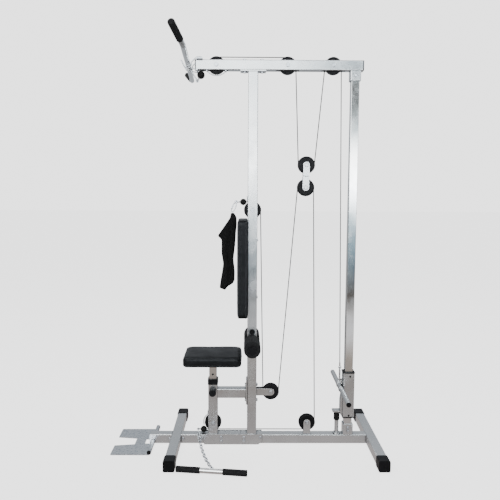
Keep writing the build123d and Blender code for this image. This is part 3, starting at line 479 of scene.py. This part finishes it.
def welt_line(low, high, corner, z):
    """Points along a rounded outline at one height, evenly enough for a seam."""
    points = []
    centres = corner_centres(low, high, corner)
    for index, (cx, cy, turn) in enumerate(centres):
        for k in range(13):
            angle = (turn + k / 12) * pi / 2
            points.append(Vector((cx + corner * cos(angle), cy + corner * sin(angle), z)))
        nx, ny, next_turn = centres[(index + 1) % 4]
        end_angle = next_turn * pi / 2
        end = Vector((nx + corner * cos(end_angle), ny + corner * sin(end_angle), z))
        start = points[-1]
        points += [start.lerp(end, k / 40) for k in range(1, 40)]
    return points


def welt(name, pad, points, radius):
    """A sewn welt that lies on the pad's skin along a closed line."""
    tree = BVHTree.FromObject(pad, bpy.context.evaluated_depsgraph_get())
    seated = []
    for point in points:
        nearest, normal, _, _ = tree.find_nearest(point)
        seated.append(nearest + normal * (radius * 0.35))
    shape = bmesh.new()
    add_loft(shape, seated, [radius] * len(seated), 8, closed=True)
    return from_bmesh(name, shape, "black_vinyl", THREAD)


def stuffed_pad(name, low, high, corner, edge, rise, turn, body, node, seed):
    """A vinyl pad with a welt round its top and one round its foot, made lying flat, then turned into its
    place.
    """
    shape = rounded_block(low + Vector((PAD_START, PAD_START, 0)),
                          high - Vector((PAD_START, PAD_START, PAD_START)), corner, edge)
    pad = from_bmesh(name, shape, "black_vinyl")
    remesh(pad, PAD_VOXEL)
    swell(pad, SWELL_CAP, low.z + FLAT_HEIGHT)
    crown(pad, low, high, rise, SIDE_PULL, seed)
    smooth_and_subdivide(pad, 4)
    fit(pad, low, high)
    top_line = welt_line(low, high, corner, high.z - edge * 0.45)
    low_line = welt_line(low, high, corner, low.z + edge * 0.7)
    top_welt = welt(name + "_welt_top", pad, top_line, TOP_WELT_R)
    low_welt = welt(name + "_welt_low", pad, low_line, LOW_WELT_R)
    for piece in (pad, top_welt, low_welt):
        piece.data.transform(turn)
        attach(piece, body)
    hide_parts(node)


def fit(piece, low, high):
    """Scale a finished pad back to the size of its block."""
    vertices = piece.data.vertices
    for axis in range(3):
        values = [v.co[axis] for v in vertices]
        bottom, top = min(values), max(values)
        scale = (high[axis] - low[axis]) / (top - bottom)
        for vertex in vertices:
            vertex.co[axis] = low[axis] + (vertex.co[axis] - bottom) * scale


def seat():
    """The seat cushion, a little proud of its plain block on every side."""
    low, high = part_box("seat_cushion")
    low -= Vector((SEAT_PROUD, SEAT_PROUD, SEAT_PROUD))
    high += Vector((SEAT_PROUD, SEAT_PROUD, SEAT_PROUD))
    stuffed_pad("seat_pad", low, high, SEAT_CORNER, SEAT_EDGE, SEAT_RISE, Matrix.Identity(4), "seat",
                "seat_cushion", 3.0)


def back():
    """The back pad is made flat with its face up, then stood on end facing the seat."""
    low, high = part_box("back_pad")
    thick = high.x - low.x
    flat_low = Vector((low.z, low.y, 0))
    flat_high = Vector((high.z, high.y, thick))
    turn = Matrix(((0, 0, -1, high.x), (0, 1, 0, 0), (1, 0, 0, 0), (0, 0, 0, 1)))
    stuffed_pad("back_cushion", flat_low, flat_high, BACK_CORNER, BACK_EDGE, BACK_RISE, turn, "frame",
                "back_pad", 11.0)


# ---------------------------------------------------------------- foam
def foam_tube(name, start, end, radius, bore, slot, seed):
    """A foam sleeve with rolled rims, a bore mouth at both ends and a slightly uneven skin."""
    length = (end - start).length / MM
    roll = min(7.0, radius * 0.3)
    profile = [(6, bore), (1.5, bore), (0, bore + 1.5), (0, radius - roll)]
    profile += [(roll * (1 - cos(a)), radius - roll + roll * sin(a))
                for a in (radians(18 * k) for k in range(1, 6))]
    steps = 24
    body = [(roll + (length - 2 * roll) * k / steps, radius) for k in range(1, steps)]
    profile = profile + body + [(length - along, r) for along, r in reversed(profile)]
    piece = turned(name, start, end - start, profile, slot, 64)
    axis = (end - start).normalized()
    for vertex in piece.data.vertices:
        co = vertex.co
        wobble = noise.noise(co * 45 + Vector((seed, 0, 0)))
        offset = co - start
        radial = offset - axis * offset.dot(axis)
        if radial.length > bore * MM * 1.3:
            vertex.co = co + radial.normalized() * (wobble * 0.5 - 0.25) * MM
    return piece


def leg_rollers():
    """The two foam leg rollers, each turning on its own half of the axle."""
    for side, body in (("near", "roller_near"), ("far", "roller_far")):
        low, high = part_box("leg_roller_" + side)
        centre = (low + high) / 2
        start = Vector((centre.x, low.y, centre.z))
        end = Vector((centre.x, high.y, centre.z))
        roller = foam_tube("roller_foam_" + side, start, end, (high.z - low.z) / 2 / MM,
                           ROLLER_BORE, "black_foam", centre.y * 90)
        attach(roller, body)
        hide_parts("leg_roller_" + side)


def closed_grip(name, root, tip, radius, dome, body):
    """A moulded foam grip, open at its root, closed and domed at its tip, with shallow grip rings."""
    length = (tip - root).length / MM
    profile = [(0, radius - 3.2), (0, radius - 1.4), (0.5, radius - 0.5), (1.6, radius)]
    for k in range(1, int(length // GRIP_RING_PITCH)):
        middle = k * GRIP_RING_PITCH
        profile += [(middle - 1.6, radius), (middle - 0.7, radius - 0.45), (middle + 0.7, radius - 0.45),
                    (middle + 1.6, radius)]
    profile += [(length - dome + dome * sin(a), radius - dome + dome * cos(a))
                for a in (radians(15 * k) for k in range(0, 7))]
    profile.append((length, 2.0))
    grip = turned(name, root, tip - root, profile, "black_foam", 40)
    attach(grip, body)
    return grip


def grips():
    """Foam grips of the lat bar and of the low row bar."""
    for prefix, ends, dome, body, node in (
            ("lat_grip_", LAT_GRIPS, 7.0, "lat_handle", "lat_bar_grips"),
            ("row_grip_", ROW_GRIPS, 2.5, "row_handle", "row_bar_grips")):
        for label, (root, tip) in zip(("near", "far"), ends):
            grip = closed_grip(prefix + label, Vector(root) * MM, Vector(tip) * MM, GRIP_R, dome, body)
            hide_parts(node)


# ---------------------------------------------------------------- cables and their ends
def carriage_cable():
    """The run from the rear top pulley down to the carriage, which shortens as the carriage rises."""
    top, low = at(448.5, 1993.64), at(472.5, 446.0)
    run = straight_tube("cable_run_carriage", top, low, CABLE_R, "cable")
    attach(run, "frame")
    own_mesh(run)
    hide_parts("cable_carriage_run")


def block_cables():
    """The four runs that meet at the floating block: each stays with the frame at its far end."""
    runs = (("front_upper", (216.47, 1994.57), (235.53, 1492.43)),
            ("rear_upper", (365.68, 1996.86), (318.32, 1490.14)),
            ("front_lower", (143.36, 283.6), (233.64, 1381.4)),
            ("rear_lower", (340.49, 116.79), (316.49, 1378.79)))
    for label, fixed, moving in runs:
        run = straight_tube("cable_run_" + label, at(*fixed), at(*moving), CABLE_R, "cable")
        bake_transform(run)
        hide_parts("cable_block_runs")


def add_ring(shape, centre, normal, middle, wire):
    """A round ring of wire added to a mesh."""
    across, up = ring_frame(normal)
    points = [centre + across * (middle * cos(a)) + up * (middle * sin(a))
              for a in (2 * pi * k / 40 for k in range(40))]
    add_loft(shape, points, [wire] * 40, 12, closed=True)


def ball_profile(ball_r):
    """Half outline of a stop ball in mm, with a small moulding ridge round its middle."""
    round_line = [(ball_r * (1 - cos(a)), ball_r * sin(a)) for a in (radians(7.5 * k) for k in range(1, 24))]
    ridge = [(ball_r - 0.8, ball_r), (ball_r - 0.4, ball_r + 0.5), (ball_r + 0.4, ball_r + 0.5),
             (ball_r + 0.8, ball_r)]
    before = [point for point in round_line if point[0] < ball_r - 0.9]
    after = [point for point in round_line if point[0] > ball_r + 0.9]
    return [(0.2, 3.0)] + before + ridge + after + [(2 * ball_r - 0.2, 3.0)]


def ferrule_profile(length):
    """Half outline of a crimped ferrule in mm, with two crimp grooves."""
    profile = [(0, 2.6), (0, FERRULE_R - 0.4), (0.4, FERRULE_R)]
    for share in (0.3, 0.6):
        profile += [(length * share - 0.8, FERRULE_R), (length * share, FERRULE_R - 0.5),
                    (length * share + 0.8, FERRULE_R)]
    return profile + [(length - 0.4, FERRULE_R), (length, FERRULE_R - 0.4), (length, 2.0)]


def cable_stop(label, leave, ball, ball_r, loop, loop_axis, body, node, run_node):
    """Stop ball, crimped ferrule and wire loop at a cable's end, and the short run to its pulley."""
    centre, end = at(*ball), at(*loop)
    toward = (end - centre).normalized()
    sphere = turned(label + "_stop_ball", centre - toward * (ball_r * MM), toward,
                    ball_profile(ball_r), "black_rubber")
    crimp_start = ball_r + 1
    crimp = (end - centre).length / MM - LOOP_R + 1.0 - crimp_start
    ferrule = turned(label + "_ferrule", centre + toward * (crimp_start * MM), toward,
                     ferrule_profile(crimp), "zinc_steel", 24)
    wire = bmesh.new()
    add_ring(wire, end, Vector(loop_axis), LOOP_R * MM, LOOP_WIRE_R * MM)
    ring = from_bmesh(label + "_loop", wire, "zinc_steel")
    tail = straight_tube(label + "_tail", centre, end - toward * (LOOP_R * MM), CABLE_R, "cable", 6)
    for piece in (sphere, ferrule, ring, tail):
        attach(piece, body)
        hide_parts(node)
    run = straight_tube(label + "_cable", at(*leave), centre, CABLE_R, "cable")
    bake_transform(run)
    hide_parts(run_node)


def snap_hook():
    """Pear-shaped snap hook between the ab cable's loop and the strap."""
    top, low = at(*HOOK_TOP), at(*HOOK_LOW)
    middle = (top + low) / 2
    along = (top - low).normalized()
    across = along.cross(Vector((0, 1, 0))).normalized()
    reach = (top - low).length / 2 + 1.5 * MM
    points = []
    for k in range(72):
        angle = 2 * pi * k / 72
        width = (8.5 - 2.5 * cos(angle)) * MM
        points.append(middle + along * (reach * cos(angle)) + across * (width * sin(angle)))
    shape = bmesh.new()
    add_loft(shape, points, [HOOK_WIRE_R] * len(points), 12, closed=True)
    hook = from_bmesh("ab_snap_hook", shape, "zinc_steel")
    gate_start, gate_end = points[12], points[26]
    gate = straight_tube("ab_snap_gate", gate_start, gate_end, GATE_R, "zinc_steel", 4)
    for piece in (hook, gate):
        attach(piece, "ab_handle")
        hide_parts("ab_link")


# ---------------------------------------------------------------- strap
def ab_strap():
    """The padded ab strap, hanging folded, with soft folds down its length."""
    shape = bmesh.new()
    near = [shape.verts.new(at(x, z, -STRAP_HALF / MM)) for x, z in STRAP_OUTLINE]
    far = [shape.verts.new(at(x, z, STRAP_HALF / MM)) for x, z in STRAP_OUTLINE]
    count = len(near)
    for k in range(count):
        after = (k + 1) % count
        shape.faces.new((near[k], near[after], far[after], far[k]))
    shape.faces.new(near)
    shape.faces.new(list(reversed(far)))
    strap = from_bmesh("ab_strap_cloth", shape, "black_webbing")
    remesh(strap, STRAP_VOXEL)
    smooth_and_subdivide(strap, 6)
    for vertex in strap.data.vertices:
        co = vertex.co
        fold = sin((co.x + 0.13) * 150 + 3.0 * noise.noise(Vector((0, 3.0, co.z * 9))))
        crease = noise.noise(Vector((co.x * 30, co.y * 8, co.z * 11)))
        side = 1 if co.y > 0 else -1
        depth = min(1.0, abs(co.y) / STRAP_HALF)
        co.y += (fold * 2.2 + crease * 3.0) * MM * (0.4 + 0.6 * depth) + side * 0.8 * MM * depth
        co.x += 1.2 * MM * noise.noise(Vector((5, co.y * 20, co.z * 14)))
    strap.data.update()
    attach(strap, "ab_handle")
    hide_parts("ab_strap")


# ---------------------------------------------------------------- studio
def area_light(name, place, target, size, energy, colour):
    """A soft rectangular light that faces its target."""
    light = bpy.data.lights.new(name, "AREA")
    light.shape = "RECTANGLE"
    light.size, light.size_y = size
    light.energy = energy
    light.color = colour
    lamp = bpy.data.objects.new(name, light)
    bpy.context.scene.collection.objects.link(lamp)
    lamp.location = place
    lamp.rotation_euler = (Vector(target) - Vector(place)).to_track_quat("-Z", "Y").to_euler()


def glow(name, stops, axis, reach):
    """A material that gives off light, shaded between stops along one axis up to its reach."""
    mat = bpy.data.materials.new(name)
    mat.use_nodes = True
    tree = mat.node_tree
    tree.nodes.clear()
    place = tree.nodes.new("ShaderNodeTexCoord")
    split = tree.nodes.new("ShaderNodeSeparateXYZ")
    scale = tree.nodes.new("ShaderNodeMath")
    scale.operation = "DIVIDE"
    scale.inputs[1].default_value = reach
    ramp = tree.nodes.new("ShaderNodeValToRGB")
    while len(ramp.color_ramp.elements) < len(stops):
        ramp.color_ramp.elements.new(0.5)
    for element, (position, colour) in zip(ramp.color_ramp.elements, stops):
        element.position = position
        element.color = (*colour, 1)
    emission = tree.nodes.new("ShaderNodeEmission")
    output = tree.nodes.new("ShaderNodeOutputMaterial")
    tree.links.new(place.outputs["Object"], split.inputs[0])
    tree.links.new(split.outputs[axis], scale.inputs[0])
    tree.links.new(scale.outputs[0], ramp.inputs[0])
    tree.links.new(ramp.outputs[0], emission.inputs[0])
    tree.links.new(emission.outputs[0], output.inputs[0])
    return mat


def stage_mesh(name, corners, faces, material, seen_by):
    """A piece of the studio that only some kinds of ray can see."""
    mesh = bpy.data.meshes.new(name)
    mesh.from_pydata(corners, [], faces)
    mesh.materials.append(material)
    piece = bpy.data.objects.new(name, mesh)
    bpy.context.scene.collection.objects.link(piece)
    for kind in ("camera", "diffuse", "glossy", "shadow", "transmission", "volume_scatter"):
        setattr(piece, "visible_" + kind, kind in seen_by)


def floor_and_backdrop():
    """A pale floor that runs out to a plain pale backdrop, both seen by the camera only."""
    look = Look("floor", (0.8, 0.8, 0.8), 0.0, 0.9)
    look.colour(look.grey(look.noise(0.6, 2), 0.78, 0.82))
    look.set("Emission Color", (1, 1, 1, 1))
    look.set("Emission Strength", FLOOR_LIGHT)
    far = STAGE_REACH
    stage_mesh("floor", [(-far, -far, 0), (far, -far, 0), (far, far, 0), (-far, far, 0)],
               [(0, 1, 2, 3)], look.mat, ("camera",))
    pale = glow("backdrop", [(end, (BACKDROP_LIGHT,) * 3) for end in (0.0, 1.0)], "Z", far)
    corners = [(x * far, y * far, z * far) for z in (-0.1, 1) for y in (-1, 1) for x in (-1, 1)]
    walls_and_lid = [(0, 1, 5, 4), (2, 3, 7, 6), (0, 2, 6, 4), (1, 3, 7, 5), (4, 5, 7, 6)]
    stage_mesh("backdrop", corners, walls_and_lid, pale, ("camera",))


# The front wall in three panels: name, left and right edge in metres, and its light from the
# floor up, as shares of the cards' height
FRONT_CARDS = (
    ("upright_card", -6.0, 0.4, [
        (0.0, (0.1, 0.085, 0.07)), (0.06, (0.26, 0.3, 0.33)), (0.1, (0.18, 0.25, 0.3)),
        (0.16, (0.46, 0.62, 0.72)), (0.22, (1.0, 1.3, 1.45)), (0.28, (6.5, 6.8, 6.8)),
        (0.36, (10.0, 10.0, 10.0)), (0.44, (6.0, 6.2, 6.2)), (0.57, (3.2, 3.5, 3.7)),
        (0.63, (5.8, 6.0, 6.1)), (0.75, (3.6, 3.8, 3.9))]),
    ("block_card", 0.4, 0.88, [
        (0.0, (0.3, 0.3, 0.3)), (0.16, (0.6, 0.68, 0.76)), (0.3, (1.1, 1.35, 1.45)),
        (0.45, (1.8, 2.0, 2.1)), (0.6, (4.6, 5.1, 5.2)), (0.75, (3.0, 3.2, 3.3))]),
    ("rail_card", 0.88, 6.0, [
        (0.0, (0.07, 0.055, 0.04)), (0.03, (0.12, 0.11, 0.1)), (0.05, (0.25, 0.29, 0.33)),
        (0.09, (0.16, 0.24, 0.3)), (0.16, (0.42, 0.66, 0.8)), (0.22, (1.6, 1.95, 2.1)),
        (0.29, (11.0, 11.5, 12.0)), (0.36, (8.0, 8.2, 8.2)), (0.42, (1.6, 1.9, 2.0)),
        (0.47, (0.4, 0.46, 0.47)), (0.52, (0.12, 0.11, 0.11)), (0.56, (0.2, 0.2, 0.18)),
        (0.6, (1.2, 1.5, 1.7)), (0.75, (1.6, 1.9, 2.1))]))


def cards():
    """Soft cards that only shiny surfaces see: a front wall, a rear wall and the floor in front."""
    wall, back, wide, high = WALL_Y, REAR_Y, CARD_WIDE, CARD_HIGH
    for label, left, right, stops in FRONT_CARDS:
        stage_mesh(label, [(left, wall, 0), (right, wall, 0), (right, wall, high), (left, wall, high)],
                   [(0, 1, 2, 3)], glow(label, stops, "Z", high), ("glossy",))
    rear = glow("rear_card", [
        (0.0, (0.4, 0.41, 0.43)), (0.4, (0.56, 0.6, 0.64)), (1.0, (0.9, 0.94, 0.98))], "Z", high)
    stage_mesh("rear_card", [(-wide, back, 0), (wide, back, 0), (wide, back, high), (-wide, back, high)],
               [(0, 1, 2, 3)], rear, ("glossy",))
    ground = glow("ground_card", [
        (0.0, (0.6, 0.56, 0.55)), (0.1, (0.5, 0.45, 0.43)), (0.25, (0.4, 0.35, 0.32)),
        (0.42, (0.46, 0.4, 0.34)), (0.52, (1.1, 1.1, 1.12)), (0.78, (1.0, 1.0, 1.02)),
        (0.9, (0.13, 0.1, 0.075)), (1.0, (0.08, 0.065, 0.05))], "Y", wall)
    edges = ((-wide, wall), (wide, wall), (wide, GROUND_Y), (-wide, GROUND_Y))
    stage_mesh("ground_card", [(x, y, GROUND_Z) for x, y in edges], [(0, 1, 2, 3)], ground, ("glossy",))


def studio():
    """Pale floor, soft lights, and cards that give the bright metal something to reflect."""
    floor_and_backdrop()
    cards()
    world = bpy.data.worlds.new("studio")
    bpy.context.scene.world = world
    world.use_nodes = True
    sky = world.node_tree.nodes["Background"]
    sky.inputs["Color"].default_value = (0.96, 0.98, 1.0, 1)
    sky.inputs["Strength"].default_value = WORLD_LIGHT
    area_light("key", (-2.2, -3.4, 4.2), (0, 0, 1.0), (2.4, 2.4), 60, (1.0, 0.99, 0.97))
    area_light("fill", (3.2, -2.6, 2.4), (0.1, 0, 1.0), (2.0, 3.0), 28, (0.96, 0.98, 1.0))
    area_light("top", (0.2, 1.4, 4.4), (0.1, 0, 0.8), (3.0, 2.0), 45, (0.95, 0.98, 1.0))


def camera():
    """The viewpoint: square to the machine's side, above the back pad, looking slightly down."""
    yaw, pitch, roll = CAMERA_YAW, CAMERA_PITCH, CAMERA_ROLL
    ahead = Vector((sin(yaw) * cos(pitch), cos(yaw) * cos(pitch), -sin(pitch)))
    side = Vector((cos(yaw), -sin(yaw), 0))
    over = side.cross(ahead)
    right = side * cos(roll) + over * sin(roll)
    up = over * cos(roll) - side * sin(roll)
    data = bpy.data.cameras.new("camera")
    data.sensor_width = CAMERA_SENSOR
    data.lens = CAMERA_LENS
    eye = bpy.data.objects.new("camera", data)
    bpy.context.scene.collection.objects.link(eye)
    turn = Matrix((right, up, -ahead)).transposed().to_4x4()
    eye.matrix_world = Matrix.Translation(CAMERA_PLACE) @ turn
    bpy.context.scene.camera = eye


# ---------------------------------------------------------------- assembly
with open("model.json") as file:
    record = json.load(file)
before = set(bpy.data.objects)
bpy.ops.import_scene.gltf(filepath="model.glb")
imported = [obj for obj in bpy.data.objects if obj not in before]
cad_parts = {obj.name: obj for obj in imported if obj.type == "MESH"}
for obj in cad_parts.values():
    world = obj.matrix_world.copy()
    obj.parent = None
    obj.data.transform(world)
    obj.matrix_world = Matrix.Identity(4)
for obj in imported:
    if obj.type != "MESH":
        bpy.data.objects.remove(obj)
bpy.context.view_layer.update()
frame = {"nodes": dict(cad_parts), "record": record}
LOOKS = {slot: make() for slot, make in MAKERS.items()}
THREAD = thread()


def paint_frame():
    """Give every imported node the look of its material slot."""
    slots = {part["node"]: part["material_slot"] for part in frame["record"]["subparts"]}
    for name, node in frame["nodes"].items():
        node.data.materials.clear()
        node.data.materials.append(LOOKS[slots[name]])


paint_frame()
seat()
back()
leg_rollers()
grips()
carriage_cable()
block_cables()
cable_stop("lat", LAT_LEAVE, LAT_BALL, LAT_BALL_R, LAT_LOOP, (0, 1, 0), "lat_cable",
           "lat_cable_end", "lat_cable_end")
cable_stop("ab", AB_LEAVE, AB_BALL, SMALL_BALL_R, AB_LOOP, (0, 1, 0), "ab_handle",
           "ab_cable_end", "ab_cable_end")
cable_stop("row", ROW_LEAVE, ROW_BALL, SMALL_BALL_R, ROW_LOOP, (0, 0, 1), "row_cable",
           "row_cable_end", "cable_block_runs")
snap_hook()
ab_strap()
studio()
camera()
